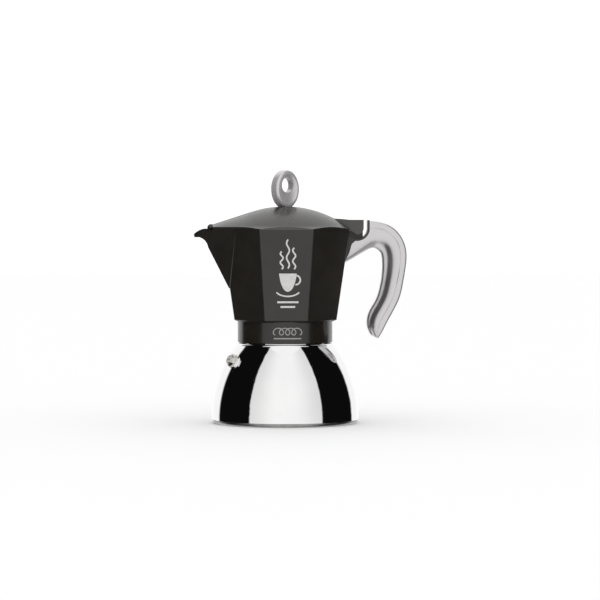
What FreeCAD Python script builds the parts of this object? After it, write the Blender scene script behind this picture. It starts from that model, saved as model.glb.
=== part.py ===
"""Stovetop moka pot: an eight-sided collector with a hinged lid, screwed on a round boiler.

Millimetres, +Z up, origin at the centre of the base. The spout points to -X, the handle
to +X, and the front facet faces -Y.
"""
import FreeCAD, Part
import math
import os

import Sketcher

doc = FreeCAD.newDocument("MokaPot")
nodes = []

LEFT, RIGHT = 1, -1
UP = FreeCAD.Vector(0, 0, 1)
NO_TURN = FreeCAD.Rotation()
ALONG_Y = FreeCAD.Rotation(FreeCAD.Vector(1, 0, 0), 90)
ALONG_X = FreeCAD.Rotation(FreeCAD.Vector(0, 1, 0), 90)
FACING_X = FreeCAD.Rotation(FreeCAD.Vector(1, 1, 1), 120)

DRIVING_SIZES = {
    # boiler: one arc from the base edge to the shoulder
    "base_radius": 50.8,
    "disc_height": 2.8,
    "disc_round": 2.5,
    "side_radius": 86.8,
    "shoulder_radius": 34.1,
    "shoulder_height": 54.0,
    "neck_radius": 28.2,
    "neck_bottom": 55.4,
    "neck_top": 66.0,
    "boiler_wall": 1.5,
    "thread_pitch": 3.0,
    "thread_depth": 1.1,
    # safety valve, in its own frame: its axis is square to the boiler's side
    "valve_height": 43.3,
    "valve_azimuth": 210.0,
    "boss_radius": 4.8,
    "boss_rise": 0.9,
    "shank_radius": 3.2,
    "hex_radius": 4.4,
    "nose_radius": 3.0,
    "chamber_radius": 2.2,
    "stem_radius": 0.8,
    # coffee funnel and seals
    "funnel_wall": 0.8,
    "cup_radius": 26.2,
    "cup_bottom": 42.0,
    "tube_radius": 4.3,
    "tube_bottom": 7.5,
    "sheet_thickness": 0.8,
    "gasket_inner": 22.5,
    "seal_radius": 27.8,
    "gasket_bottom": 66.9,
    "gasket_thickness": 3.3,
    "plate_hole": 0.9,
    # collector
    "collar_radius": 32.8,
    "collar_bottom": 55.8,
    "collar_bore": 30.2,
    "seal_bore": 28.5,
    "ceiling_height": 71.1,
    "waist_height": 71.8,
    "waist_radius": 38.0,
    "rim_height": 133.5,
    "rim_radius": 47.6,
    "collector_wall": 2.2,
    "floor_height": 73.6,
    "column_base": 8.5,
    "column_tip": 6.0,
    "column_top": 121.0,
    "column_bore": 4.0,
    # spout: side planes that leave the diagonal facets along a leaning fold
    "spout_low": 93.5,
    "spout_root": 38.8,
    "fold_reach": 34.2,
    "fold_half": 28.0,
    "fold_low_half": 16.1,
    "nose_angle": 41.5,
    "nose_round": 4.0,
    "spout_wall": 1.5,
    "lip_height": 128.5,
    # lid
    "lid_bottom": 133.53,
    "lid_top": 149.8,
    "dome_radius": 74.0,
    "dome_edge": 42.0,
    "flange_radius": 15.0,
    "flange_edge": 48.5,
    "lid_wall": 3.0,
    "lid_mouth": 39.0,
    "cover_top": 135.5,
    "cover_end": 50.0,
    "roof_end_height": 137.0,
    "roof_root": 22.0,
    "roof_root_height": 146.0,
    "bead_radius": 2.5,
    # hinge and its bracket
    "hinge_reach": 49.5,
    "hinge_height": 134.8,
    "pin_radius": 1.5,
    "pin_clearance": 0.05,
    "knuckle_radius": 4.3,
    "knuckle_half": 3.6,
    "fork_inner": 4.0,
    "fork_outer": 7.6,
    "fork_radius": 4.6,
    "cradle_inner": 7.5,
    "cradle_outer": 8.8,
    "bracket_half": 8.2,
    "bracket_top": 140.3,
    # knob
    "knob_half_width": 10.5,
    "knob_half_height": 13.1,
    "knob_centre": 161.7,
    "knob_thickness": 8.0,
    "knob_hole": 5.2,
    "knob_hole_height": 164.5,
    "knob_round": 2.0,
    "dish_depth": 1.8,
    "dish_half_width": 9.2,
    "dish_half_height": 11.4,
    "knob_azimuth": 40.0,
    "knob_screw": 1.75,
    # handle: an outer bend and back, an inner bend and finger side
    "handle_top": 140.3,
    "bend_reach": 61.0,
    "bend_height": 116.7,
    "bend_radius": 23.0,
    "back_radius": 92.0,
    "finger_bend_radius": 6.5,
    "finger_radius": 62.0,
    "handle_half": 9.0,
    "cover_depth": 4.6,
    "groove": 0.7,
    "handle_screw": 1.6,
}


class Size:
    """A number together with the expression of the size sheet that drives it."""

    def __init__(self, value, text=None):
        self.value = float(value)
        self.text = text or f"({self.value!r})"

    def __neg__(self):
        return Size(-self.value, f"(-{self.text})")

    def __add__(self, other):
        other = as_size(other)
        return Size(self.value + other.value, f"({self.text} + {other.text})")

    def __sub__(self, other):
        other = as_size(other)
        return Size(self.value - other.value, f"({self.text} - {other.text})")

    def __mul__(self, other):
        other = as_size(other)
        return Size(self.value * other.value, f"({self.text} * {other.text})")

    def __truediv__(self, other):
        other = as_size(other)
        return Size(self.value / other.value, f"({self.text} / {other.text})")

    def __radd__(self, other):
        return as_size(other) + self

    def __rsub__(self, other):
        return as_size(other) - self

    def __rmul__(self, other):
        return as_size(other) * self


class Sheet:
    """The driving sizes, each read as an attribute and bound to its cell."""

    def __init__(self, cells):
        table = doc.addObject("Spreadsheet::Sheet", "Sizes")
        for row, (name, value) in enumerate(cells.items(), start=1):
            table.set(f"A{row}", name)
            table.set(f"B{row}", str(value))
            table.setAlias(f"B{row}", name)
            setattr(self, name, Size(value, f"Sizes.{name}"))


def as_size(value):
    return value if isinstance(value, Size) else Size(value)


def cosine(angle):
    return Size(math.cos(math.radians(as_size(angle).value)), f"cos({as_size(angle).text})")


def sine(angle):
    return Size(math.sin(math.radians(as_size(angle).value)), f"sin({as_size(angle).text})")


def root(value):
    return Size(math.sqrt(value.value), f"sqrt({value.text})")


# ---------------------------------------------------------------- building helpers

def bind(thing, **values):
    for name, value in values.items():
        thing.setExpression(name, as_size(value).text)


def place(thing, at, turn=NO_TURN):
    thing.Placement = FreeCAD.Placement(FreeCAD.Vector(), turn)
    for letter, value in zip("xyz", at):
        thing.setExpression(f"Placement.Base.{letter}", as_size(value).text)


def solid(kind, name, at=(0, 0, 0), turn=NO_TURN, **values):
    thing = doc.addObject(f"Part::{kind}", name)
    bind(thing, **values)
    place(thing, at, turn)
    return thing


def rod(name, radius, bottom, top, turn=NO_TURN):
    """An upright cylinder about the main axis, or about the axis of its own frame."""
    return solid("Cylinder", name, (0, 0, bottom), turn, Radius=radius, Height=as_size(top) - bottom)


def bar(name, low, high):
    """A box between two corners."""
    length, width, height = (as_size(b) - a for a, b in zip(low, high))
    return solid("Box", name, low, Length=length, Width=width, Height=height)


def fuse(name, *pieces):
    thing = doc.addObject("Part::MultiFuse", name)
    thing.Shapes = list(pieces)
    thing.Refine = True
    return thing


def boolean(kind, name, base, tool):
    thing = doc.addObject(f"Part::{kind}", name)
    thing.Base = base
    thing.Tool = tool
    thing.Refine = True
    return thing


def cut(name, base, *tools):
    tool = tools[0] if len(tools) == 1 else fuse(f"{name}_tools", *tools)
    return boolean("Cut", name, base, tool)


def common(name, base, tool):
    return boolean("Common", name, base, tool)


def node(thing, label):
    """Names a finished sub-part after its file."""
    thing.Label = label
    nodes.append(thing)
    return thing


def origin_plane(body, role):
    return next(plane for plane in body.Origin.OriginFeatures if plane.Role == role)


def arc_between(start, finish, radius, side):
    """The short arc from start to finish, with its centre on the given side."""
    chord = finish - start
    across = FreeCAD.Vector(-chord.y, chord.x, 0).normalize()
    height = math.sqrt(radius ** 2 - (chord.Length / 2) ** 2)
    centre = (start + finish) * 0.5 + across * (side * height)
    first, last = (start, finish) if side == LEFT else (finish, start)
    angles = [math.atan2(point.y - centre.y, point.x - centre.x) for point in (first, last)]
    return Part.ArcOfCircle(Part.Circle(centre, UP, radius), *angles)


def draw(sketch, corners):
    """Draws a closed outline. A corner is (across, up), or (across, up, radius, side)
    where the stretch that follows it is an arc. Every corner is driven by expressions."""
    spots = [FreeCAD.Vector(as_size(c[0]).value, as_size(c[1]).value, 0) for c in corners]
    ends = []
    for index, corner in enumerate(corners):
        start, finish = spots[index], spots[(index + 1) % len(spots)]
        if len(corner) == 2:
            sketch.addGeometry(Part.LineSegment(start, finish))
            ends.append((1, 2))
            continue
        radius, side = as_size(corner[2]), corner[3]
        sketch.addGeometry(arc_between(start, finish, radius.value, side))
        ends.append((1, 2) if side == LEFT else (2, 1))
        number = sketch.addConstraint(Sketcher.Constraint("Radius", index, radius.value))
        sketch.setExpression(f"Constraints[{number}]", radius.text)
    for index, corner in enumerate(corners):
        before = index - 1 if index else len(corners) - 1
        joint = (before, ends[before][1], index, ends[index][0])
        sketch.addConstraint(Sketcher.Constraint("Coincident", *joint))
        for kind, axis, value in (("DistanceX", -2, corner[0]), ("DistanceY", -1, corner[1])):
            value = as_size(value)
            if abs(value.value) < 1e-9:
                sketch.addConstraint(Sketcher.Constraint("PointOnObject", index, ends[index][0], axis))
                continue
            pin = Sketcher.Constraint(kind, -1, 1, index, ends[index][0], value.value)
            sketch.setExpression(f"Constraints[{sketch.addConstraint(pin)}]", value.text)


def new_body(name):
    return doc.addObject("PartDesign::Body", name)


def outline(body, name, corners, role="XZ_Plane"):
    sketch = body.newObject("Sketcher::SketchObject", name)
    sketch.AttachmentSupport = [(origin_plane(body, role), "")]
    sketch.MapMode = "FlatFace"
    draw(sketch, corners)
    return sketch


def turned(name, corners):
    """A body of revolution about its own Z axis, from (radius, height) corners."""
    body = new_body(name)
    sketch = outline(body, f"{name}_outline", corners)
    turn = body.newObject("PartDesign::Revolution", f"{name}_turn")
    turn.Profile = sketch
    turn.ReferenceAxis = (sketch, ["V_Axis"])
    turn.Angle = 360
    body.Tip = turn
    return body


def ring(name, inner, outer, bottom, top):
    return turned(name, [(inner, bottom), (outer, bottom), (outer, top), (inner, top)])


def slab(name, corners, half):
    """A side outline in X and Z, padded by half to each side of Y = 0."""
    body = new_body(name)
    sketch = outline(body, f"{name}_outline", corners)
    pad = body.newObject("PartDesign::Pad", f"{name}_pad")
    pad.Profile = sketch
    pad.Midplane = True
    bind(pad, Length=2 * as_size(half))
    body.Tip = pad
    return body


def perforate(body, name, rings, thickness_top):
    """Rings of round holes through a disc: one pocket for each ring, then its pattern."""
    size = sizes
    for number, (ring_radius, count) in enumerate(rings):
        sketch = body.newObject("Sketcher::SketchObject", f"{name}_hole_{number}")
        sketch.AttachmentSupport = [(origin_plane(body, "XY_Plane"), "")]
        sketch.MapMode = "FlatFace"
        sketch.setExpression("AttachmentOffset.Base.z", thickness_top.text)
        sketch.addGeometry(Part.Circle(FreeCAD.Vector(ring_radius, 0, 0), UP, size.plate_hole.value))
        sketch.addConstraint(Sketcher.Constraint("PointOnObject", 0, 3, -1))
        sketch.addConstraint(Sketcher.Constraint("DistanceX", -1, 1, 0, 3, ring_radius))
        hole = sketch.addConstraint(Sketcher.Constraint("Radius", 0, size.plate_hole.value))
        sketch.setExpression(f"Constraints[{hole}]", size.plate_hole.text)
        pocket = body.newObject("PartDesign::Pocket", f"{name}_pocket_{number}")
        pocket.Profile = sketch
        pocket.Type = 1
        pattern = body.newObject("PartDesign::PolarPattern", f"{name}_pattern_{number}")
        pattern.Originals = [pocket]
        pattern.Axis = (sketch, ["N_Axis"])
        pattern.Angle = 360
        pattern.Occurrences = count
        body.Tip = pattern


def loft(name, *sections):
    thing = doc.addObject("Part::Loft", name)
    thing.Sections = list(sections)
    thing.Solid = True
    thing.Ruled = True
    return thing


def octagon(name, radius, height):
    """A level octagon whose flats face X, Y and the diagonals."""
    turn = FreeCAD.Rotation(UP, 180 / FACETS)
    return solid("RegularPolygon", name, (0, 0, height), turn, Polygon=FACETS, Circumradius=radius)


def octagonal(name, low_radius, low, high_radius, high):
    base = octagon(f"{name}_low", low_radius, low)
    return loft(name, base, octagon(f"{name}_high", high_radius, high))


def rounded(name, thing, radius, chosen):
    """Fillets the edges that the test picks."""
    doc.recompute()
    fillet = doc.addObject("Part::Fillet", name)
    fillet.Base = thing
    picks = [i for i, edge in enumerate(thing.Shape.Edges, start=1) if chosen(edge)]
    fillet.Edges = [(i, as_size(radius).value, as_size(radius).value) for i in picks]
    return fillet


FACETS = 8
sizes = Sheet(DRIVING_SIZES)
doc.recompute()


# ---------------------------------------------------------------- boiler

def side_reach(height, inset=0):
    """Radius of the boiler's side at a height, for the surface inset from the outside."""
    radius = sizes.side_radius - inset
    rise = as_size(height) - sizes.disc_height
    return root(radius * radius - rise * rise) - (sizes.side_radius - sizes.base_radius)


def valve_frame(along=0.0):
    """Placement whose +Z is the valve's axis and whose origin is on the boiler's skin."""
    reach = side_reach(sizes.valve_height).value
    arc_reach = reach + sizes.side_radius.value - sizes.base_radius.value
    tilt = math.degrees(math.atan2(sizes.valve_height.value - sizes.disc_height.value, arc_reach))
    turn = FreeCAD.Rotation(UP, sizes.valve_azimuth.value)
    turn = turn * FreeCAD.Rotation(FreeCAD.Vector(0, 1, 0), 90 - tilt)
    around = math.radians(sizes.valve_azimuth.value)
    skin = FreeCAD.Vector(reach * math.cos(around), reach * math.sin(around), sizes.valve_height.value)
    return FreeCAD.Placement(skin + turn.multVec(UP) * along, turn)


def on_valve(thing):
    thing.Placement = valve_frame()
    return thing


def make_boiler():
    wall = sizes.boiler_wall
    inner_floor = sizes.disc_height + wall
    inner_top = sizes.shoulder_height - wall
    floor_edge = side_reach(inner_floor, wall)
    step = sizes.neck_bottom - sizes.shoulder_height
    body = turned("boiler_shell", [
        (0, sizes.disc_height),
        (sizes.base_radius, sizes.disc_height, sizes.side_radius, LEFT),
        (sizes.shoulder_radius, sizes.shoulder_height, step * 1.3, LEFT),
        (sizes.shoulder_radius - step, sizes.neck_bottom),
        (sizes.neck_radius, sizes.neck_bottom),
        (sizes.neck_radius, sizes.neck_top),
        (sizes.neck_radius - wall, sizes.neck_top),
        (sizes.neck_radius - wall, inner_top),
        (side_reach(inner_top, wall), inner_top, sizes.side_radius - wall, RIGHT),
        (floor_edge, inner_floor),
        (0, inner_floor),
    ])
    tooth_low = sizes.neck_bottom + 2.2
    tooth_root = sizes.neck_radius - 0.4
    tooth_crest = sizes.neck_radius + sizes.thread_depth
    flank, land = 0.9, 0.4
    tooth = outline(body, "thread_tooth", [
        (tooth_root, tooth_low),
        (tooth_crest, tooth_low + flank),
        (tooth_crest, tooth_low + flank + land),
        (tooth_root, tooth_low + 2 * flank + land),
    ])
    thread = body.newObject("PartDesign::AdditiveHelix", "boiler_thread")
    thread.Profile = tooth
    thread.ReferenceAxis = (tooth, ["V_Axis"])
    thread.Mode = 0
    bind(thread, Pitch=sizes.thread_pitch, Height=sizes.thread_pitch * 1.9)
    body.Tip = thread
    boss_root = -1.0
    boss = valve_cylinder("boss", sizes.boss_radius, boss_root, sizes.boss_rise)
    bore = valve_cylinder("valve_bore", sizes.shank_radius + 0.05, -6, sizes.boss_rise + 1)
    floor_disc = rod("floor_disc", floor_edge, sizes.disc_height, inner_floor)
    node(cut("boiler_bored", fuse("boiler_with_boss", body, boss), bore, floor_disc), "boiler")
    node(floor_disc, "boiler_floor")


def valve_cylinder(name, radius, low, high):
    """A cylinder on the valve's axis, in the boiler's frame."""
    thing = doc.addObject("Part::Cylinder", name)
    bind(thing, Radius=radius, Height=as_size(high) - low)
    thing.Placement = valve_frame(as_size(low).value)
    return thing


def make_base_disc():
    edge = sizes.base_radius - 0.6
    disc = turned("disc_turned", [
        (0, 0),
        (edge - sizes.disc_round, 0, sizes.disc_round, LEFT),
        (edge, sizes.disc_round),
        (edge, sizes.disc_height),
        (0, sizes.disc_height),
    ])
    node(disc, "boiler_base_disc")


# ---------------------------------------------------------------- safety valve

INLET_END = -4.5
SEAT = -2.5
FLANGE_TOP = -1.4
WASHER_THICKNESS = 0.5
HEX_HEIGHT = 2.2
NOSE_HEIGHT = 1.1
CAP_THICKNESS = 0.9
CAP_SETBACK = 0.2
INLET_RADIUS = 0.9
NUT_LOW, NUT_TOP = -4.0, -2.0
PIN_SHOWING = 0.9
PIN_CHAMFER = 0.3
SPRING_WIRE = 0.2
SPRING_TURNS = 5


def make_valve():
    hex_low = sizes.boss_rise + WASHER_THICKNESS
    nose_low = hex_low + HEX_HEIGHT
    nose_top = nose_low + NOSE_HEIGHT
    cap_top = nose_top - CAP_SETBACK
    cap_low = cap_top - CAP_THICKNESS
    stem_bore = sizes.stem_radius + sizes.pin_clearance

    shank = rod("valve_shank", sizes.shank_radius, INLET_END, hex_low)
    hexagon = solid("Prism", "valve_hex", (0, 0, hex_low), Polygon=6, Circumradius=sizes.hex_radius,
                    Height=HEX_HEIGHT)
    nose = rod("valve_nose", sizes.nose_radius, nose_low, nose_top)
    chamber = rod("valve_chamber", sizes.chamber_radius, SEAT, nose_top)
    inlet = rod("valve_inlet", INLET_RADIUS, INLET_END, SEAT)
    body = cut("valve_body_bored", fuse("valve_body_solid", shank, hexagon, nose), chamber, inlet)
    node(on_valve(body), "valve_body")

    washer_inner = sizes.shank_radius + 0.05
    washer_outer = sizes.boss_radius - 0.2
    washer = ring("valve_washer_ring", washer_inner, washer_outer, sizes.boss_rise, hex_low)
    node(on_valve(washer), "valve_washer")

    nut = solid("Prism", "valve_nut_hex", (0, 0, NUT_LOW), Polygon=6, Circumradius=sizes.boss_radius + 0.4,
                Height=NUT_TOP - NUT_LOW)
    nut = cut("valve_nut_bored", nut, rod("valve_nut_bore", sizes.shank_radius, NUT_LOW, NUT_TOP))
    node(on_valve(nut), "valve_nut")

    cap = ring("valve_cap_ring", stem_bore, sizes.chamber_radius, cap_low, cap_top)
    node(on_valve(cap), "valve_cap")

    flange = sizes.chamber_radius - 0.35
    piston = turned("valve_piston_turned", [
        (0, SEAT + 0.05),
        (flange - 0.5, SEAT + 0.05),
        (flange, SEAT + 0.5),
        (flange, FLANGE_TOP),
        (sizes.stem_radius, FLANGE_TOP),
        (sizes.stem_radius, nose_top + PIN_SHOWING - PIN_CHAMFER),
        (sizes.stem_radius - PIN_CHAMFER, nose_top + PIN_SHOWING),
        (0, nose_top + PIN_SHOWING),
    ])
    node(on_valve(piston), "valve_piston")

    coil = (sizes.stem_radius + sizes.chamber_radius) / 2
    spring_low = as_size(FLANGE_TOP + 2 * SPRING_WIRE)
    length = cap_low - 2 * SPRING_WIRE - spring_low
    path = solid("Helix", "spring_path", (0, 0, spring_low), Radius=coil, Height=length,
                 Pitch=length / SPRING_TURNS)
    section = solid("RegularPolygon", "spring_wire", (coil, 0, spring_low), ALONG_Y, Polygon=8,
                    Circumradius=SPRING_WIRE)
    spring = doc.addObject("Part::Sweep", "spring_swept")
    spring.Sections = [section]
    spring.Spine = (path, ["Edge1"])
    spring.Solid = True
    spring.Frenet = True
    doc.recompute()
    node(on_valve(spring), "valve_spring")


# ---------------------------------------------------------------- funnel and seals

def make_funnel():
    wall = sizes.funnel_wall
    flange_top = sizes.neck_top + wall
    drop = 3.5
    funnel = turned("funnel_turned", [
        (sizes.tube_radius - wall, sizes.tube_bottom),
        (sizes.tube_radius, sizes.tube_bottom),
        (sizes.tube_radius, sizes.cup_bottom - drop),
        (sizes.cup_radius, sizes.cup_bottom),
        (sizes.cup_radius, sizes.neck_top),
        (sizes.seal_radius, sizes.neck_top),
        (sizes.seal_radius, flange_top),
        (sizes.cup_radius - wall, flange_top),
        (sizes.cup_radius - wall, sizes.cup_bottom + wall),
        (sizes.tube_radius - wall, sizes.cup_bottom + wall - drop),
    ])
    node(funnel, "funnel")

    low = sizes.cup_bottom + wall + 0.3
    plate = turned("funnel_plate_disc", [
        (0, low),
        (sizes.cup_radius - wall - 0.3, low),
        (sizes.cup_radius - wall - 0.3, low + wall),
        (0, low + wall),
    ])
    perforate(plate, "funnel_plate", [(5, 6), (10, 12), (15, 18), (20, 24)], low + wall)
    node(plate, "funnel_plate")


def make_seals():
    gasket_top = sizes.gasket_bottom + sizes.gasket_thickness
    gasket = ring("gasket_ring", sizes.gasket_inner, sizes.seal_radius, sizes.gasket_bottom, gasket_top)
    node(gasket, "gasket")
    plate_top = gasket_top + sizes.sheet_thickness
    plate = turned("filter_disc", [
        (0, gasket_top),
        (sizes.seal_radius, gasket_top),
        (sizes.seal_radius, plate_top),
        (0, plate_top),
    ])
    perforate(plate, "filter", [(4.5, 6), (9, 12), (13.5, 18), (18, 24)], plate_top)
    node(plate, "filter_plate")


# ---------------------------------------------------------------- collector

def rim_slope():
    return (sizes.rim_radius - sizes.waist_radius) / (sizes.rim_height - sizes.waist_height)


def octagon_reach(height):
    """Corner radius of the eight-sided wall at a height."""
    return sizes.waist_radius + (as_size(height) - sizes.waist_height) * rim_slope()


def spout_plan(name, height, inset):
    """The spout's V in plan at a height. Its sides stay parallel as they lean outwards."""
    drop = (sizes.rim_height - height) / (sizes.rim_height - sizes.spout_low)
    reach = sizes.fold_reach + (sizes.spout_root - sizes.fold_reach) * drop
    half = sizes.fold_half + (sizes.fold_low_half - sizes.fold_half) * drop
    reach = reach - sine(sizes.nose_angle) * inset
    half = half - cosine(sizes.nose_angle) * inset
    apex = reach + half * cosine(sizes.nose_angle) / sine(sizes.nose_angle)
    sketch = doc.addObject("Sketcher::SketchObject", name)
    draw(sketch, [(-20, -half), (-20, half), (-reach, half), (-apex, 0), (-reach, -half)])
    place(sketch, (0, 0, height))
    return sketch


def spout_prism(name, inset, high):
    low = sizes.spout_low - 3
    prism = loft(name, spout_plan(f"{name}_low", low, inset), spout_plan(f"{name}_high", high, inset))

    def on_nose(edge):
        ends = [vertex.Point for vertex in edge.Vertexes]
        return all(abs(point.y) < 1e-3 for point in ends) and all(point.x < -45 for point in ends)
    return rounded(f"{name}_nosed", prism, sizes.nose_round - inset, on_nose)


def make_spout():
    """The scoop: a flat leaning underside that flares into a level lip."""
    tip = 63.8
    lip = sizes.lip_height
    outer_side = slab("spout_side", [
        (-30, sizes.spout_low),
        (-sizes.spout_root, sizes.spout_low),
        (-53.2, lip - 6.9, 8.5, LEFT),
        (-59.3, lip),
        (-tip + 1.2, lip, 1.3, RIGHT),
        (-tip, lip + 1.2, 13, RIGHT),
        (-56.0, lip + 5.9, 9, RIGHT),
        (-51.0, sizes.rim_height),
        (-30, sizes.rim_height),
    ], 35)
    wall = sizes.spout_wall
    inner_side = slab("channel_side", [
        (-30, sizes.spout_low + wall),
        (-sizes.spout_root + wall, sizes.spout_low + wall),
        (-52.3, lip - 5.8, 7, LEFT),
        (-58.9, lip + 1.1),
        (-tip - 1, lip + 2.0),
        (-tip - 1, sizes.lid_top),
        (-30, sizes.lid_top),
    ], 35)
    past_rim = sizes.lid_bottom + 3
    outer = common("spout_outer", spout_prism("spout_v", 0, past_rim), outer_side)
    inner = common("spout_channel", spout_prism("channel_v", wall, past_rim), inner_side)
    return outer, inner


def bracket_corners():
    """The bracket's outer edge, from the facet up to the top of the back plate."""
    pin_x, pin_z = sizes.hinge_reach, sizes.hinge_height
    reach = sizes.cradle_outer
    return [
        (41.5, BRACKET_LOW),
        (44.1, 117.6),
        (45.8, 123.8),
        (pin_x - 1.2, pin_z - reach, reach + 0.1, LEFT),
        (pin_x + reach - PLATE_SETBACK, pin_z - 1.6),
        (pin_x + reach - PLATE_SETBACK, sizes.bracket_top),
    ]


def make_bracket():
    """The hinge's trough, back plate and knuckle, with a tang that carries the handle."""
    pin_x, pin_z = sizes.hinge_reach, sizes.hinge_height
    inner = sizes.cradle_inner
    trough_start = 43.4
    fall = root(inner * inner - (pin_x - trough_start) * (pin_x - trough_start))
    plate = slab("bracket_plate", bracket_corners() + [
        (pin_x + inner, sizes.bracket_top),
        (pin_x + inner, pin_z, inner, RIGHT),
        (pin_x, pin_z - inner, inner, RIGHT),
        (trough_start, pin_z - fall),
        (38, pin_z - fall),
        (38, BRACKET_LOW),
    ], sizes.bracket_half)
    knuckle = solid("Cylinder", "knuckle", (pin_x, sizes.knuckle_half, pin_z), ALONG_Y,
                    Radius=sizes.knuckle_radius, Height=2 * sizes.knuckle_half)
    web = bar("knuckle_web", (pin_x - 2.6, -sizes.knuckle_half, pin_z - inner - 0.6),
              (pin_x + 2.6, sizes.knuckle_half, pin_z))
    sill = bar("trough_sill", (42, -sizes.knuckle_half, pin_z - inner + 0.3),
               (pin_x + 4.2, sizes.knuckle_half, sizes.lid_bottom - 0.6))
    tang = bar("bracket_tang", (45, -3, TANG_LOW), (55, 3, TANG_LOW + TANG_THICKNESS))
    whole = fuse("bracket_whole", plate, knuckle, web, sill, tang)
    inside = octagonal("bracket_stop", octagon_reach(BRACKET_LOW - 2), BRACKET_LOW - 2,
                       octagon_reach(sizes.bracket_top), sizes.bracket_top)
    pin_bore = solid("Cylinder", "knuckle_bore", (pin_x, 10, pin_z), ALONG_Y,
                     Radius=sizes.pin_radius + sizes.pin_clearance, Height=20)
    screw_hole = solid("Cylinder", "tang_hole", (HANDLE_SCREW_REACH, 0, TANG_LOW - 2),
                       Radius=sizes.handle_screw, Height=TANG_THICKNESS + 1.4)
    node(cut("bracket_bored", whole, inside, pin_bore, screw_hole), "hinge_bracket")


PLATE_SETBACK = 0.15
BRACKET_LOW = 112.6
TANG_LOW = 122.0
TANG_THICKNESS = 3.5
HANDLE_SCREW_REACH = 50.5


def make_collector():
    wall = sizes.collector_wall
    outer = octagonal("wall_outer", sizes.waist_radius, sizes.waist_height,
                      sizes.rim_radius, sizes.rim_height)

    def on_corner(edge):
        low, high = (vertex.Point for vertex in edge.Vertexes)
        return abs(low.z - high.z) > 20
    outer = rounded("wall_rounded", outer, 1.2, on_corner)
    under = octagonal("underside", sizes.collar_radius + 1.2, sizes.waist_height - 1.6,
                      sizes.waist_radius, sizes.waist_height)
    spout_outer, spout_inner = make_spout()
    top = sizes.lid_top
    cavity = octagonal("cavity", octagon_reach(sizes.floor_height) - wall, sizes.floor_height,
                       octagon_reach(top) - wall, top)
    drum = rod("drum", sizes.collar_radius - 1, sizes.collar_bottom, sizes.floor_height)
    shell = cut("collector_shell", fuse("collector_outside", outer, under, spout_outer),
                cavity, spout_inner, drum)
    ceiling = sizes.ceiling_height + 0.9
    core = turned("collar_and_floor", [
        (sizes.collar_bore, sizes.collar_bottom),
        (sizes.collar_radius - 0.5, sizes.collar_bottom),
        (sizes.collar_radius, sizes.collar_bottom + 0.5),
        (sizes.collar_radius, sizes.waist_height),
        (sizes.collar_radius, sizes.floor_height),
        (sizes.column_bore, sizes.floor_height),
        (sizes.column_bore, ceiling),
        (sizes.gasket_inner - 2, ceiling),
        (sizes.gasket_inner, sizes.ceiling_height),
        (sizes.seal_bore, sizes.ceiling_height),
        (sizes.seal_bore, sizes.neck_top + 0.6),
        (sizes.collar_bore, sizes.neck_top + 0.6),
    ])
    node(fuse("collector_whole", shell, core), "collector")


def make_column():
    """The tube that the coffee rises in, closed at its tip above two side ports."""
    cap_low = sizes.column_top - 4
    tube = turned("column_tube", [
        (sizes.column_bore, sizes.floor_height),
        (sizes.column_base, sizes.floor_height),
        (sizes.column_tip, sizes.column_top - 2),
        (sizes.column_tip - 2, sizes.column_top),
        (0, sizes.column_top),
        (0, cap_low),
        (sizes.column_bore, cap_low),
    ])
    port = solid("Cylinder", "column_port", (0, 12, cap_low - 3.2), ALONG_Y, Radius=2.3, Height=24)
    node(cut("column_bored", tube, port), "collector_column")


# ---------------------------------------------------------------- lid, hinge pin and knob

def roof_section(name, reach, ridge_height):
    """The spout's roof seen along X: upright sides, level eaves above the V's sides, and an arch."""
    spread = cosine(sizes.nose_angle) / sine(sizes.nose_angle)
    half = sizes.fold_half + (sizes.fold_reach - reach) / spread
    rise = ridge_height - sizes.cover_top
    arch_radius = (half * half + rise * rise) / (2 * rise)
    sketch = doc.addObject("Sketcher::SketchObject", name)
    draw(sketch, [
        (-half, sizes.lid_bottom),
        (half, sizes.lid_bottom),
        (half, sizes.cover_top, arch_radius, LEFT),
        (-half, sizes.cover_top),
    ])
    place(sketch, (-reach, 0, 0), FACING_X)
    return sketch


def make_roof():
    """The part of the lid above the spout: a leaning arch inside the spout's V."""
    arch = loft("roof_arch", roof_section("roof_end", sizes.cover_end, sizes.roof_end_height),
                roof_section("roof_root", sizes.roof_root, sizes.roof_root_height))
    return common("roof", spout_prism("roof_v", 0, sizes.lid_top), arch)


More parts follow.
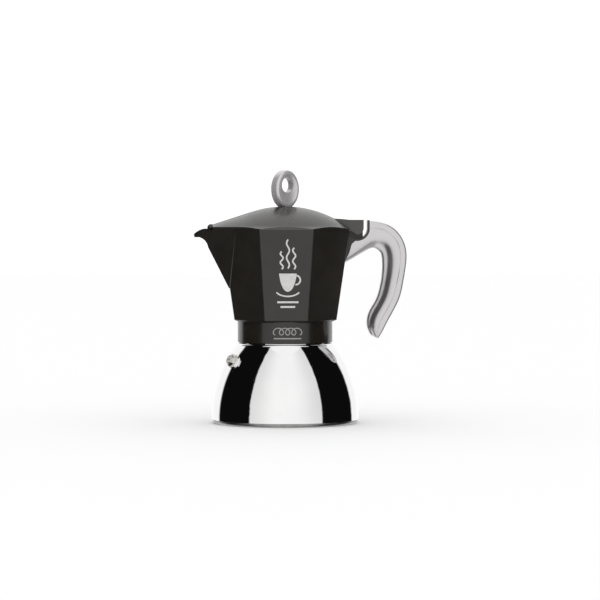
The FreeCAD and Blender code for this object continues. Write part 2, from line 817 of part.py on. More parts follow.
def make_lid():
    sphere_centre = sizes.lid_top - sizes.dome_radius
    edge = sizes.dome_edge
    edge_height = sphere_centre + root(sizes.dome_radius * sizes.dome_radius - edge * edge)
    dome = turned("dome", [
        (0, sizes.lid_bottom),
        (sizes.flange_edge, sizes.lid_bottom),
        (sizes.flange_edge, sizes.lid_bottom + 0.5, sizes.flange_radius, RIGHT),
        (edge, edge_height, sizes.dome_radius, LEFT),
        (0, sizes.lid_top),
    ])
    skirt = solid("Prism", "skirt", (0, 0, sizes.lid_bottom), FreeCAD.Rotation(UP, 180 / FACETS),
                  Polygon=FACETS, Circumradius=sizes.rim_radius, Height=20)
    notch = slab("dome_notch", [
        (-70, sizes.lid_bottom + 0.4),
        (-35.0, sizes.lid_bottom + 0.4),
        (-35.0, sizes.cover_top),
        (-20.5, 148.6),
        (-20.5, 155),
        (-70, 155),
    ], 60)
    dome = cut("notched_dome", common("scalloped_dome", dome, skirt), notch)

    ridge_run = 29.8
    ridge_rise = 7.4
    lean = FreeCAD.Rotation(FreeCAD.Vector(0, 1, 0), math.degrees(math.atan2(ridge_run, ridge_rise)))
    ridge = solid("Cone", "lid_ridge", (-49.8, 0, 134.9), lean, Radius1=2.4, Radius2=4.6,
                  Height=math.hypot(ridge_run, ridge_rise))
    bead = solid("Sphere", "lid_bead", (-51.3, 0, 135.1), Radius=sizes.bead_radius)
    neck = solid("Cylinder", "bead_neck", (-51.3, 0, 135.0), ALONG_X, Radius=1.7, Height=3)

    pin_x, pin_z = sizes.hinge_reach, sizes.hinge_height
    fork_radius = sizes.fork_radius
    ear = slab("fork_ear", [
        (33, 141.4),
        (33, sizes.lid_bottom + 3),
        (40, sizes.lid_bottom),
        (44.5, sizes.lid_bottom),
        (pin_x, pin_z - fork_radius, fork_radius, LEFT),
        (pin_x + fork_radius, pin_z),
        (pin_x + fork_radius, sizes.handle_top + 0.2),
        (44.5, sizes.handle_top + 0.2),
        (38.5, 141.1),
    ], sizes.fork_outer)
    slot_end = 43.9
    slot = bar("fork_slot", (slot_end, -sizes.fork_inner, 128), (60, sizes.fork_inner, 145))
    ears = cut("fork", ear, slot)

    inner_sphere = sizes.dome_radius - sizes.lid_wall
    mouth = sizes.lid_mouth
    cavity = turned("lid_cavity", [
        (0, sizes.lid_bottom - 1),
        (mouth, sizes.lid_bottom - 1),
        (mouth, sphere_centre + root(inner_sphere * inner_sphere - mouth * mouth), inner_sphere, LEFT),
        (0, sphere_centre + inner_sphere),
    ])
    hollow = cut("lid_hollow", fuse("lid_outside", dome, make_roof(), ridge, bead, neck, ears), cavity)
    rim = ring("lid_rim", mouth, mouth + 1.4, sizes.lid_bottom - 1.8, sizes.lid_bottom + 1)
    pin_hole = solid("Cylinder", "fork_bore", (pin_x, sizes.fork_outer + 1, pin_z), ALONG_Y,
                     Radius=sizes.pin_radius, Height=2 * sizes.fork_outer - 0.6)
    screw_hole = rod("knob_screw_hole", sizes.knob_screw + 0.1, sizes.lid_bottom, sizes.lid_top + 1)
    node(cut("lid_bored", fuse("lid_with_rim", hollow, rim), pin_hole, screw_hole), "lid")

    pin = solid("Cylinder", "pin_rod", (pin_x, sizes.fork_outer, pin_z), ALONG_Y,
                Radius=sizes.pin_radius, Height=2 * sizes.fork_outer - 1.6)
    node(pin, "hinge_pin")


DISH_LIFT = 1.5


def make_knob():
    sphere_centre = sizes.lid_top - sizes.dome_radius
    turn = FreeCAD.Rotation(UP, sizes.knob_azimuth.value)
    half = sizes.knob_thickness / 2
    centre = sizes.knob_centre
    body = new_body("knob_oval")
    sketch = body.newObject("Sketcher::SketchObject", "knob_outline")
    sketch.AttachmentSupport = [(origin_plane(body, "XZ_Plane"), "")]
    sketch.MapMode = "FlatFace"
    tall, wide = sizes.knob_half_height, sizes.knob_half_width
    top = FreeCAD.Vector(0, (centre + tall).value, 0)
    side = FreeCAD.Vector(wide.value, centre.value, 0)
    oval = Part.Ellipse(top, side, FreeCAD.Vector(0, centre.value, 0))
    sketch.addGeometry(oval)
    hole_centre = FreeCAD.Vector(0, sizes.knob_hole_height.value, 0)
    sketch.addGeometry(Part.Circle(hole_centre, UP, sizes.knob_hole.value))
    sketch.addConstraint(Sketcher.Constraint("PointOnObject", 0, 3, -2))
    sketch.addConstraint(Sketcher.Constraint("PointOnObject", 1, 3, -2))
    drives = [
        (Sketcher.Constraint("DistanceY", -1, 1, 0, 3, centre.value), centre),
        (Sketcher.Constraint("DistanceY", -1, 1, 1, 3, hole_centre.y), sizes.knob_hole_height),
        (Sketcher.Constraint("Radius", 1, sizes.knob_hole.value), sizes.knob_hole),
    ]
    for constraint, value in drives:
        sketch.setExpression(f"Constraints[{sketch.addConstraint(constraint)}]", value.text)
    pad = body.newObject("PartDesign::Pad", "knob_pad")
    pad.Profile = sketch
    pad.Midplane = True
    bind(pad, Length=sizes.knob_thickness)
    doc.recompute()
    edges = body.newObject("PartDesign::Fillet", "knob_edges")
    edges.Base = (pad, [f"Edge{i}" for i, edge in enumerate(pad.Shape.Edges, start=1)
                        if abs(edge.BoundBox.YLength) < 1e-3])
    bind(edges, Radius=sizes.knob_round)
    body.Tip = edges
    body.Placement = FreeCAD.Placement(FreeCAD.Vector(), turn)
    outward = turn.multVec(FreeCAD.Vector(0, 1, 0)) * (half.value + DISH_LIFT)
    dishes = []
    for side, way in (("front", -1), ("back", 1)):
        spot = outward * way
        dish = solid("Ellipsoid", f"knob_dish_{side}", (spot.x, spot.y, centre), turn,
                     Radius1=sizes.dish_half_height, Radius2=sizes.dish_half_width,
                     Radius3=sizes.dish_depth + DISH_LIFT)
        dishes.append(dish)
    seat = solid("Sphere", "knob_seat", (0, 0, sphere_centre), Radius=sizes.dome_radius)
    screw_end = sizes.lid_top + 6
    thread_hole = rod("knob_thread_hole", sizes.knob_screw, sizes.lid_top - 3, screw_end + 0.5)
    node(cut("knob_bored", body, seat, thread_hole, *dishes), "lid_knob")

    ceiling = sizes.lid_top - sizes.lid_wall
    washer_low = ceiling - 0.9
    washer = ring("knob_washer_ring", sizes.knob_screw + 0.1, 4.6, washer_low, ceiling - 0.15)
    node(washer, "knob_washer")
    head = 3.3
    screw = turned("knob_screw_turned", [
        (0, washer_low - 2.0),
        (head - 0.6, washer_low - 2.0),
        (head, washer_low - 1.4),
        (head, washer_low),
        (sizes.knob_screw, washer_low),
        (sizes.knob_screw, screw_end),
        (0, screw_end),
    ])
    slot = bar("knob_screw_slot", (-4, -0.4, washer_low - 3), (4, 0.4, washer_low - 1.2))
    node(cut("knob_screw_slotted", screw, slot), "knob_screw")


# ---------------------------------------------------------------- handle

SQUARENESS = 0.6
RIB = ((0, 1), (0.25, 0.97), (0.42, 0.87), (0.56, 0.69), (0.72, 0.51), (0.9, 0.41), (1, 0))


class Station:
    """One cross-section of the handle, from its outer back to its finger side. Its flanks
    go from full (rib 0) to scooped out beside a narrow inner rib (rib 1)."""

    def __init__(self, outer, inner, half, rib=1.0):
        self.outer = FreeCAD.Vector(outer[0], 0, outer[1])
        self.depth_way = FreeCAD.Vector(inner[0], 0, inner[1]) - self.outer
        self.depth = self.depth_way.Length
        self.depth_way.normalize()
        self.half = half
        self.rib = rib
        self.cover = min(sizes.cover_depth.value, 0.34 * self.depth)

    def point(self, deep, across):
        return self.outer + self.depth_way * deep + FreeCAD.Vector(0, across, 0)

    def cover_wire(self):
        """The cover: a slightly crowned back with rounded corners and flat sides."""
        half, round_off = self.half, 0.16 * self.half
        crown = 0.05 * self.half
        back = Part.Arc(self.point(crown, round_off - half), self.point(0, 0),
                        self.point(crown, half - round_off))
        corner_depth = crown + round_off
        soft = 0.3 * round_off
        right = Part.Arc(self.point(crown, half - round_off), self.point(crown + soft, half - soft),
                         self.point(corner_depth, half))
        left = Part.Arc(self.point(corner_depth, -half), self.point(crown + soft, soft - half),
                        self.point(crown, round_off - half))
        sides = Part.makePolygon([self.point(corner_depth, half), self.point(self.cover, half),
                                  self.point(self.cover, -half), self.point(corner_depth, -half)])
        return Part.Wire([back.toShape(), right.toShape()] + sides.Edges + [left.toShape()])

    def grip_wire(self):
        """The grip: a narrow neck under the cover, then flanks that close in to the finger side."""
        groove = sizes.groove.value * min(1, self.depth / 12)
        shoulder = self.cover + groove
        neck = self.half - groove
        belly = self.depth - shoulder
        flank = []
        for index, (rib_deep, rib_across) in enumerate(RIB):
            turn = math.radians(90 * index / (len(RIB) - 1))
            full_deep, full_across = math.sin(turn) ** SQUARENESS, abs(math.cos(turn)) ** SQUARENESS
            deep = full_deep + (rib_deep - full_deep) * self.rib
            across = full_across + (rib_across - full_across) * self.rib
            flank.append((shoulder + belly * deep, self.half * across))
        flank[-1] = (self.depth, 0)
        curve = Part.BSplineCurve()
        curve.interpolate([self.point(*spot) for spot in flank]
                          + [self.point(deep, -across) for deep, across in reversed(flank[:-1])])
        sides = Part.makePolygon([self.point(shoulder, -self.half), self.point(shoulder, -neck),
                                  self.point(self.cover, -neck), self.point(self.cover, neck),
                                  self.point(shoulder, neck), self.point(shoulder, self.half)])
        return Part.Wire([curve.toShape()] + sides.Edges)


def on_arc(centre, radius, degrees):
    angle = math.radians(degrees)
    return centre[0] + radius * math.cos(angle), centre[1] + radius * math.sin(angle)


def handle_stations():
    """The arm, the bend, the long back and the rounded end, from top to tip."""
    half = sizes.handle_half.value
    top = sizes.handle_top.value
    bend = (sizes.bend_reach.value, sizes.bend_height.value)
    finger_bend = (bend[0] - 0.8, bend[1] - 2.3)
    back = (bend[0] + sizes.bend_radius.value - sizes.back_radius.value, bend[1])
    finger_bend_edge = finger_bend[0] + sizes.finger_bend_radius.value
    finger_side = (finger_bend_edge - sizes.finger_radius.value + 0.3, 108)
    stations = [
        Station((44, top), (38.5, 109.6), half, 0),
        Station((54, top), (47.5, 114.1), half, 0.1),
    ]
    for angle, rib in ((90, 0.4), (64, 0.8), (38, 1), (14, 1)):
        outer = on_arc(bend, sizes.bend_radius.value, angle)
        inner = on_arc(finger_bend, sizes.finger_bend_radius.value, angle)
        stations.append(Station(outer, inner, half, rib))
    sweep = 33
    for share in (0.16, 0.42, 0.7, 1.0):
        outer = on_arc(back, sizes.back_radius.value, -sweep * share)
        inner = on_arc(finger_side, sizes.finger_radius.value, -sweep * share ** 1.4)
        stations.append(Station(outer, inner, half))
    stations.append(Station((67.1, 62.6), (57.0, 65.6), 0.9 * half))
    stations.append(Station((64.6, 58.6), (61.2, 59.8), 0.62 * half))
    return stations


def lofted(name, wires):
    thing = doc.addObject("Part::Feature", name)
    thing.Shape = Part.makeLoft(wires, True, False)
    return thing


def bracket_room(name):
    """The space that the bracket and the collector's wall take, for the handle to stop at."""
    past = sizes.handle_top + 5
    behind_plate = sizes.hinge_reach + sizes.cradle_outer - PLATE_SETBACK
    inward = [(behind_plate, past), (30, past), (30, 100), (40.3, 104)]
    return slab(name, bracket_corners()[:-1] + inward, 20)


def make_handle():
    stations = handle_stations()
    cover = lofted("cover_raw", [station.cover_wire() for station in stations])
    grip = lofted("grip_raw", [station.grip_wire() for station in stations])
    head_seat = TANG_LOW - 1.6
    pocket = bar("tang_pocket", (40, -3.1, TANG_LOW - 0.1), (55.2, 3.1, TANG_LOW + TANG_THICKNESS + 0.1))
    shank_hole = solid("Cylinder", "handle_screw_hole", (HANDLE_SCREW_REACH, 0, TANG_LOW - 12),
                       Radius=sizes.handle_screw + 0.1, Height=14)
    head_hole = solid("Cylinder", "handle_head_hole", (HANDLE_SCREW_REACH, 0, head_seat - 14),
                      Radius=3.1, Height=14)
    grip = cut("grip_under_cover", grip, cover)
    node(cut("grip_cut", grip, bracket_room("grip_stop"), pocket, shank_hole, head_hole), "handle_grip")
    node(cut("cover_cut", cover, bracket_room("cover_stop")), "handle_cover")
    screw = turned("handle_screw_turned", [
        (0, head_seat - 1.8),
        (2.2, head_seat - 1.8),
        (2.8, head_seat - 1.2),
        (2.8, head_seat),
        (sizes.handle_screw, head_seat),
        (sizes.handle_screw, TANG_LOW + TANG_THICKNESS - 0.6),
        (0, TANG_LOW + TANG_THICKNESS - 0.6),
    ])
    slot = bar("handle_screw_slot", (-4, -0.35, head_seat - 3), (4, 0.35, head_seat - 1.1))
    screw = cut("handle_screw_slotted", screw, slot)
    screw.Placement = FreeCAD.Placement(FreeCAD.Vector(HANDLE_SCREW_REACH, 0, 0), NO_TURN)
    node(screw, "handle_screw")


def check_document():
    """Stops on any object that failed to build and on any empty or broken sub-part."""
    doc.recompute()
    for thing in doc.Objects:
        if "Invalid" in thing.State or "Error" in thing.State:
            raise RuntimeError(f"{thing.Name} did not build: {thing.State}")
    for thing in nodes:
        if thing.Shape.isNull() or not thing.Shape.isValid():
            raise RuntimeError(f"{thing.Label} has no sound shape")


def write_parts():
    os.makedirs("parts", exist_ok=True)
    for thing in nodes:
        thing.Shape.exportStep(f"parts/{thing.Label}.step")
        box = thing.Shape.BoundBox
        spans = ((box.XMin, box.XMax), (box.YMin, box.YMax), (box.ZMin, box.ZMax))
        print(f"{thing.Label}: {len(thing.Shape.Solids)} solid, {thing.Shape.Volume:.0f} mm3,",
              *(f"{low:.1f}..{high:.1f}" for low, high in spans))


for make in (make_boiler, make_base_disc, make_valve, make_funnel, make_seals, make_collector,
             make_column, make_bracket, make_lid, make_knob, make_handle):
    make()
check_document()
write_parts()
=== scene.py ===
"""Moka pot: finishes, printed marks, the valve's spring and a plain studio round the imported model.

Sizes of the marks and the spring are in millimetres, and those of the studio in metres. Both use the
frame's axes: +Z up, the spout to -X and the front facet towards -Y.
"""
import math

import bmesh
import bpy
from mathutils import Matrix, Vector


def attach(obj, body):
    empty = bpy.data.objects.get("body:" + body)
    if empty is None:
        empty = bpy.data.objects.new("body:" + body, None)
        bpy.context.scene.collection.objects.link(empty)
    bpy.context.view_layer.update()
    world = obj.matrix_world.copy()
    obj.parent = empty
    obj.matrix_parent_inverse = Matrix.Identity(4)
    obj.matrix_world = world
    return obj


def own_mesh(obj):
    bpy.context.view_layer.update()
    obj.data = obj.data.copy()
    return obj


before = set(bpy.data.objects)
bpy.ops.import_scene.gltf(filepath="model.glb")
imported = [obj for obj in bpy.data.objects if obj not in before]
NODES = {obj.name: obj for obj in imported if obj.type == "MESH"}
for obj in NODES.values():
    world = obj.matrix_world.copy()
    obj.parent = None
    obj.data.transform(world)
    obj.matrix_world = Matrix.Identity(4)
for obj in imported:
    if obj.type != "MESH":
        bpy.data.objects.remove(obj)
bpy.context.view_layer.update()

MM = 0.001


# ------------------------------------------------------------------ node tree helpers

class Finish:
    """A material with a Principled shader, and short calls that add detail to it."""

    def __init__(self, name, colour, roughness, metallic=0.0, **sockets):
        self.material = bpy.data.materials.new(name)
        self.material.use_nodes = True
        self.tree = self.material.node_tree
        self.shader = self.tree.nodes["Principled BSDF"]
        self.colour = (*colour, 1.0)
        self.shader.inputs["Base Color"].default_value = self.colour
        self.shader.inputs["Roughness"].default_value = roughness
        self.shader.inputs["Metallic"].default_value = metallic
        for socket, value in sockets.items():
            self.shader.inputs[socket.replace("_", " ")].default_value = value
        self.place = self.add("ShaderNodeTexCoord").outputs["Object"]
        self.normal = None

    def add(self, kind, **settings):
        node = self.tree.nodes.new(kind)
        for name, value in settings.items():
            setattr(node, name, value)
        return node

    def link(self, source, target):
        self.tree.links.new(source, target)

    def noise(self, size, detail=4.0, stretch=(1, 1, 1)):
        """Noise whose blobs are about size across, in metres, stretched along each axis."""
        spread = self.add("ShaderNodeMapping")
        spread.inputs["Scale"].default_value = [1 / s for s in stretch]
        self.link(self.place, spread.inputs["Vector"])
        noise = self.add("ShaderNodeTexNoise")
        noise.inputs["Scale"].default_value = 1 / size
        noise.inputs["Detail"].default_value = detail
        self.link(spread.outputs["Vector"], noise.inputs["Vector"])
        return noise.outputs["Fac"]

    def rings(self, step):
        """Fine turned rings about the main axis, a little uneven, one every 2 pi steps."""
        wave_factor = 20
        wave = self.add("ShaderNodeTexWave", wave_type="RINGS", rings_direction="Z")
        wave.inputs["Scale"].default_value = 1 / (step * wave_factor)
        wave.inputs["Distortion"].default_value = 0.4
        wave.inputs["Detail"].default_value = 3
        self.link(self.place, wave.inputs["Vector"])
        return wave.outputs["Fac"]

    def remap(self, value, low, high, start=0.0, stop=1.0):
        spread = self.add("ShaderNodeMapRange", interpolation_type="SMOOTHSTEP")
        spread.inputs["From Min"].default_value = start
        spread.inputs["From Max"].default_value = stop
        spread.inputs["To Min"].default_value = low
        spread.inputs["To Max"].default_value = high
        self.link(value, spread.inputs["Value"])
        return spread.outputs["Result"]

    def height(self):
        """Height above the base, in metres."""
        apart = self.add("ShaderNodeSeparateXYZ")
        self.link(self.place, apart.inputs[0])
        return apart.outputs["Z"]

    def math(self, operation, first, second):
        node = self.add("ShaderNodeMath", operation=operation)
        for socket, value in zip(node.inputs, (first, second)):
            if isinstance(value, (int, float)):
                socket.default_value = value
            else:
                self.link(value, socket)
        return node.outputs[0]

    def bump(self, value, depth, strength=1.0):
        """Adds relief of a depth in metres on top of what is already there."""
        bump = self.add("ShaderNodeBump")
        bump.inputs["Distance"].default_value = depth
        bump.inputs["Strength"].default_value = strength
        self.link(value, bump.inputs["Height"])
        if self.normal is not None:
            self.link(self.normal, bump.inputs["Normal"])
        self.normal = bump.outputs["Normal"]
        self.link(self.normal, self.shader.inputs["Normal"])

    def vary_roughness(self, value, low, high):
        self.link(self.remap(value, low, high, 0.3, 0.7), self.shader.inputs["Roughness"])

    def vary_colour(self, value, other, start=0.35, stop=0.65):
        mix = self.add("ShaderNodeMix", data_type="RGBA")
        mix.inputs["A"].default_value = self.colour
        mix.inputs["B"].default_value = (*other, 1.0)
        self.link(self.remap(value, 0, 1, start, stop), mix.inputs["Factor"])
        self.link(mix.outputs["Result"], self.shader.inputs["Base Color"])


# ------------------------------------------------------------------ finishes

def mirror_steel():
    finish = Finish("mirror_steel", (0.86, 0.86, 0.855), 0.03, 1.0)
    finish.vary_roughness(finish.noise(6 * MM, 3), 0.02, 0.045)
    finish.vary_colour(finish.noise(25 * MM, 2), (0.83, 0.83, 0.83))
    finish.bump(finish.noise(9 * MM, 2, (1, 1, 0.6)), 0.004 * MM, 0.5)
    return finish


def ground_steel():
    finish = Finish("ground_steel", (0.36, 0.36, 0.36), 0.34, 1.0)
    finish.vary_roughness(finish.noise(3 * MM, 5), 0.28, 0.42)
    finish.vary_colour(finish.noise(14 * MM, 4), (0.29, 0.285, 0.28))
    finish.bump(finish.rings(0.35 * MM), 0.012 * MM, 0.6)
    return finish


def plated_brass():
    finish = Finish("plated_brass", (0.74, 0.73, 0.71), 0.16, 1.0)
    finish.vary_roughness(finish.noise(1.2 * MM, 4), 0.12, 0.26)
    finish.vary_colour(finish.noise(2.5 * MM, 3), (0.62, 0.6, 0.56))
    finish.bump(finish.noise(0.5 * MM, 3), 0.01 * MM, 0.5)
    return finish


def hard_steel():
    finish = Finish("hard_steel", (0.56, 0.56, 0.57), 0.22, 1.0)
    finish.vary_roughness(finish.noise(0.8 * MM, 4), 0.17, 0.32)
    finish.vary_colour(finish.noise(2 * MM, 3), (0.47, 0.47, 0.48))
    finish.bump(finish.noise(0.3 * MM, 3, (1, 4, 1)), 0.006 * MM, 0.5)
    return finish


def spun_aluminium():
    finish = Finish("spun_aluminium", (0.78, 0.78, 0.78), 0.36, 1.0)
    finish.vary_roughness(finish.noise(2 * MM, 4), 0.3, 0.44)
    finish.vary_colour(finish.noise(9 * MM, 4), (0.7, 0.7, 0.7))
    finish.bump(finish.rings(0.5 * MM), 0.015 * MM, 0.6)
    return finish


def black_coating():
    """Satin black, with a smoother and glossier band round the collar."""
    finish = Finish("black_coating", (0.0115, 0.009, 0.0068), 0.36, 0.0, Specular_IOR_Level=0.58)
    satin = finish.remap(finish.noise(1.1 * MM, 4), 0.33, 0.41, 0.3, 0.7)
    above_collar = finish.remap(finish.height(), 0.55, 1.0, 70.3 * MM, 71.2 * MM)
    finish.link(finish.math("MULTIPLY", satin, above_collar), finish.shader.inputs["Roughness"])
    finish.vary_colour(finish.noise(12 * MM, 5), (0.0145, 0.0118, 0.0092))
    finish.bump(finish.noise(0.45 * MM, 3), 0.008 * MM, 0.6)
    return finish


def black_lid_coating():
    finish = Finish("black_lid_coating", (0.0135, 0.011, 0.009), 0.3, 0.0, Specular_IOR_Level=0.95)
    finish.vary_roughness(finish.noise(1.1 * MM, 4), 0.26, 0.34)
    finish.vary_colour(finish.noise(12 * MM, 5), (0.0175, 0.0145, 0.012))
    finish.bump(finish.noise(0.45 * MM, 3), 0.008 * MM, 0.6)
    return finish


def silver_plastic():
    """Pearly silver-grey moulded plastic: fine flakes, soft mottling and a moulded grain."""
    finish = Finish("silver_plastic", (0.57, 0.555, 0.56), 0.32, 0.9)
    finish.vary_roughness(finish.noise(0.7 * MM, 4), 0.29, 0.37)
    finish.vary_colour(finish.noise(0.22 * MM, 2), (0.63, 0.615, 0.62))
    finish.bump(finish.noise(0.3 * MM, 3), 0.006 * MM, 0.45)
    finish.bump(finish.noise(14 * MM, 2), 0.05 * MM, 0.15)
    return finish


def knob_plastic():
    """The same silver-grey in a paler and duller moulding."""
    finish = Finish("knob_plastic", (0.62, 0.605, 0.61), 0.34, 0.55)
    finish.vary_roughness(finish.noise(0.7 * MM, 4), 0.31, 0.39)
    finish.vary_colour(finish.noise(0.22 * MM, 2), (0.64, 0.625, 0.63))
    finish.bump(finish.noise(0.3 * MM, 3), 0.004 * MM, 0.4)
    return finish


def seal_silicone():
    finish = Finish("seal_silicone", (0.76, 0.75, 0.71), 0.55, 0.0, Subsurface_Weight=0.08)
    finish.vary_roughness(finish.noise(2 * MM, 4), 0.48, 0.64)
    finish.vary_colour(finish.noise(6 * MM, 4), (0.7, 0.685, 0.63))
    finish.bump(finish.noise(0.6 * MM, 4), 0.02 * MM, 0.5)
    return finish


def print_ink(name, colour, worn):
    finish = Finish(name, colour, 0.5)
    finish.vary_roughness(finish.noise(0.6 * MM, 3), 0.45, 0.58)
    finish.vary_colour(finish.noise(1.4 * MM, 4), worn)
    finish.bump(finish.noise(0.25 * MM, 3), 0.004 * MM, 0.5)
    return finish


FINISHES = {
    mirror_steel(): ["boiler", "boiler_floor"],
    ground_steel(): ["boiler_base_disc"],
    plated_brass(): ["valve_body", "valve_nut", "valve_cap"],
    hard_steel(): ["valve_piston", "valve_spring", "hinge_pin", "knob_screw", "knob_washer",
                   "handle_screw"],
    spun_aluminium(): ["funnel", "funnel_plate", "filter_plate"],
    black_coating(): ["collector", "collector_column", "hinge_bracket"],
    black_lid_coating(): ["lid"],
    silver_plastic(): ["handle_grip", "handle_cover"],
    knob_plastic(): ["lid_knob"],
    seal_silicone(): ["gasket", "valve_washer"],
}


def dress(thing, finish):
    thing.data.materials.clear()
    thing.data.materials.append(finish.material)


for finish, names in FINISHES.items():
    for name in names:
        dress(NODES[name], finish)


# ------------------------------------------------------------------ printed marks

def strip(mesh, left, right, place):
    """Faces between two rows of flat points, put on the surface by place."""
    rows = [[mesh.verts.new(place(*spot)) for spot in side] for side in (left, right)]
    for i in range(len(left) - 1):
        mesh.faces.new((rows[0][i], rows[1][i], rows[1][i + 1], rows[0][i + 1]))


def stroke(mesh, points, width, place):
    """A line of one width along flat points."""
    left, right = [], []
    for i, spot in enumerate(points):
        before, after = points[max(i - 1, 0)], points[min(i + 1, len(points) - 1)]
        way = Vector((after[0] - before[0], after[1] - before[1])).normalized() * (width / 2)
        left.append((spot[0] - way.y, spot[1] + way.x))
        right.append((spot[0] + way.y, spot[1] - way.x))
    strip(mesh, left, right, place)


def arc_points(centre, across, up, start, stop, steps=24):
    """Points on an ellipse between two angles in degrees."""
    turns = [math.radians(start + (stop - start) * i / steps) for i in range(steps + 1)]
    return [(centre[0] + across * math.cos(t), centre[1] + up * math.sin(t)) for t in turns]


def printed(name, draw, finish):
    """A mark of thin ink on the collector."""
    ink_thickness = 0.06
    mesh = bmesh.new()
    draw(mesh)
    data = bpy.data.meshes.new(name)
    mesh.to_mesh(data)
    mesh.free()
    thing = bpy.data.objects.new(name, data)
    bpy.context.scene.collection.objects.link(thing)
    ink = thing.modifiers.new("ink", "SOLIDIFY")
    ink.thickness = ink_thickness * MM
    ink.offset = 0
    dress(thing, finish)
    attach(thing, "collector")


INK_LIFT = 0.03
MARK_MIDDLE = 1.0


def front_facet(u, z):
    """A point on the collector's front facet, u across and z up."""
    facets = 8
    waist_height, waist_radius = 71.8, 38.0
    rim_height, rim_radius = 133.5, 47.6
    rise = (z - waist_height) * (rim_radius - waist_radius) / (rim_height - waist_height)
    return Vector((u, -(waist_radius + rise) * math.cos(math.pi / facets) - INK_LIFT, z)) * MM


def collar_face(u, z):
    """A point on the round collar, u along its front and z up."""
    radius = 32.8 + INK_LIFT
    turn = u / radius
    return Vector((radius * math.sin(turn), -radius * math.cos(turn), z)) * MM


def steam_points(middle, low, high, steps=26):
    """A rising line that sways twice."""
    sway, turns = 0.95, 2
    points = []
    for i in range(steps + 1):
        share = i / steps
        across = middle + sway * math.sin(2 * turns * math.pi * share)
        points.append((across, low + (high - low) * share))
    return points


def draw_cup(mesh):
    """A steaming cup on a saucer, over two plain lines."""
    rim, foot = 104.0, 91.5
    bowl, flare = 4.32, 1.7
    roundness = 2.6
    rows = 14
    left, right = [], []
    for i in range(rows + 1):
        share = i / rows
        half = bowl * math.sqrt(max(0.0, 1 - (1 - share) ** roundness)) + flare * share
        z = foot + (rim - foot) * share
        left.append((MARK_MIDDLE - half, z))
        right.append((MARK_MIDDLE + half, z))
    strip(mesh, right, left, front_facet)
    ear = arc_points((MARK_MIDDLE + 5.4, 99.6), 3.0, 3.1, 80, -95)
    stroke(mesh, ear, 1.1, front_facet)
    saucer = arc_points((MARK_MIDDLE, 93.5), 8.6, 5.0, 207, 333)
    stroke(mesh, saucer, 1.0, front_facet)
    for shift, low, high in ((-4.2, 107.0, 119.0), (0.0, 107.5, 127.0), (4.2, 107.0, 121.5)):
        stroke(mesh, steam_points(MARK_MIDDLE + shift, low, high), 1.05, front_facet)
    for z, half in ((84.5, 7.2), (81.3, 5.0)):
        stroke(mesh, [(MARK_MIDDLE - half, z), (MARK_MIDDLE + half, z)], 1.3, front_facet)


def draw_coil(mesh):
    """A plain coil over a line, for the kind of hob."""
    loops = 4
    steps = 26 * loops
    pitch = 4.2
    loop_across, loop_up = 2.4, 2.3
    coil_height, line_height = 64.4, 59.6
    start = -pitch * loops / 2
    coil = []
    for i in range(steps + 1):
        turn = 2 * math.pi * loops * i / steps
        across = MARK_MIDDLE + start + pitch * loops * i / steps - loop_across * math.sin(turn)
        coil.append((across, coil_height - loop_up * math.cos(turn)))
    stroke(mesh, coil, 0.7, collar_face)
    half, pieces = 9.5, 16
    line = [(MARK_MIDDLE - half + 2 * half * i / pieces, line_height) for i in range(pieces + 1)]
    stroke(mesh, line, 0.9, collar_face)


printed("front_mark", draw_cup, print_ink("print_white", (0.62, 0.61, 0.6), (0.55, 0.54, 0.53)))
printed("collar_mark", draw_coil, print_ink("print_grey", (0.3, 0.295, 0.29), (0.25, 0.245, 0.24)))


# ------------------------------------------------------------------ spring of the safety valve

def squeeze_spring():
    """Gives the spring a mesh of its own and leaves its shape as it is. The valve's axis is square
    to the boiler's side, an arc that starts at the top of the base plate."""
    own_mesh(NODES["valve_spring"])


squeeze_spring()


# ------------------------------------------------------------------ studio

def make_floor():
    half_size, drop = 6.0, 0.05 * MM
    mesh = bmesh.new()
    bmesh.ops.create_grid(mesh, x_segments=8, y_segments=8, size=half_size)
    data = bpy.data.meshes.new("floor")
    mesh.to_mesh(data)
    mesh.free()
    floor = bpy.data.objects.new("floor", data)
    floor.location.z = -drop
    bpy.context.scene.collection.objects.link(floor)
    dress(floor, Finish("floor_white", (0.93, 0.93, 0.93), 0.9))
    floor.visible_glossy = False


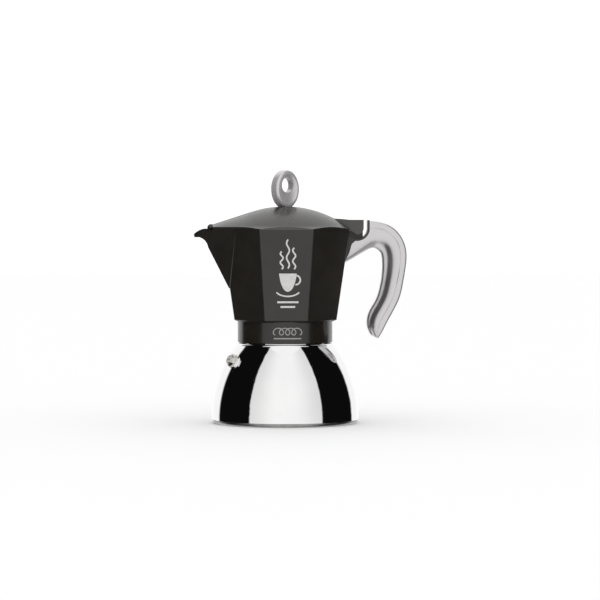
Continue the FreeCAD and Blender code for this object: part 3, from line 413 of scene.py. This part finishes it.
def make_world():
    """White all round to the eye. What shines is lit by a broad front softbox, a white wall
    behind and a top light, with dark cards to the sides. Azimuth is counted from the front,
    to both sides, and angles are in degrees."""
    softbox_edge, softbox_fade, softbox_dim = (57.5, 60.5), (12, 60), 0.22
    wall_edge = (125, 131)
    top_edge = (60, 74)
    card_glow, light_glow, plain_glow = 0.004, 1.06, 1.1
    world = bpy.data.worlds.new("studio")
    bpy.context.scene.world = world
    world.use_nodes = True
    world.cycles.sampling_method = "NONE"
    tree = world.node_tree
    tree.nodes.clear()

    def add(kind, **settings):
        node = tree.nodes.new(kind)
        for name, value in settings.items():
            setattr(node, name, value)
        return node

    def compute(operation, *values):
        node = add("ShaderNodeMath", operation=operation)
        for socket, value in zip(node.inputs, values):
            if isinstance(value, (int, float)):
                socket.default_value = value
            else:
                tree.links.new(value, socket)
        return node.outputs[0]

    def ramp(value, start, stop):
        node = add("ShaderNodeMapRange", interpolation_type="SMOOTHSTEP")
        tree.links.new(value, node.inputs["Value"])
        node.inputs["From Min"].default_value = math.radians(start)
        node.inputs["From Max"].default_value = math.radians(stop)
        return node.outputs["Result"]

    apart = add("ShaderNodeSeparateXYZ")
    tree.links.new(add("ShaderNodeTexCoord").outputs["Generated"], apart.inputs[0])
    x, y, z = apart.outputs
    azimuth = compute("ABSOLUTE", compute("ARCTAN2", x, compute("MULTIPLY", y, -1)))
    elevation = compute("ARCSINE", z)
    front = compute("SUBTRACT", 1, ramp(azimuth, *softbox_edge))
    fall_off = compute("MULTIPLY", ramp(azimuth, *softbox_fade), -softbox_dim)
    front = compute("MULTIPLY", front, compute("ADD", 1, fall_off))
    back = ramp(azimuth, *wall_edge)
    top = ramp(elevation, *top_edge)
    lit = compute("MINIMUM", 1, compute("ADD", compute("ADD", front, back), top))
    shine = compute("ADD", card_glow, compute("MULTIPLY", lit, light_glow))

    path = add("ShaderNodeLightPath")
    glossy = path.outputs["Is Glossy Ray"]
    plain = compute("MULTIPLY", compute("SUBTRACT", 1, glossy), plain_glow)
    strength = compute("ADD", plain, compute("MULTIPLY", glossy, shine))
    background = add("ShaderNodeBackground")
    background.inputs["Color"].default_value = (1, 1, 1, 1)
    tree.links.new(strength, background.inputs["Strength"])
    tree.links.new(background.outputs[0], add("ShaderNodeOutputWorld").inputs["Surface"])


def make_camera():
    """A long lens a little above the pot and a little to the spout's side of straight ahead."""
    distance, height = 1.794, 0.135
    field_of_view, azimuth = math.radians(13.2), math.radians(1.35)
    aim = Vector((0.01035, 0, 0.085))
    data = bpy.data.cameras.new("camera")
    data.sensor_width = 36
    data.lens = data.sensor_width / 2 / math.tan(field_of_view / 2)
    camera = bpy.data.objects.new("camera", data)
    bpy.context.scene.collection.objects.link(camera)
    camera.location = (-distance * math.sin(azimuth), -distance, height)
    camera.rotation_mode = "QUATERNION"
    camera.rotation_quaternion = (aim - camera.location).to_track_quat("-Z", "Y")
    bpy.context.scene.camera = camera


make_floor()
make_world()
make_camera()
bpy.context.scene.view_settings.view_transform = "Standard"
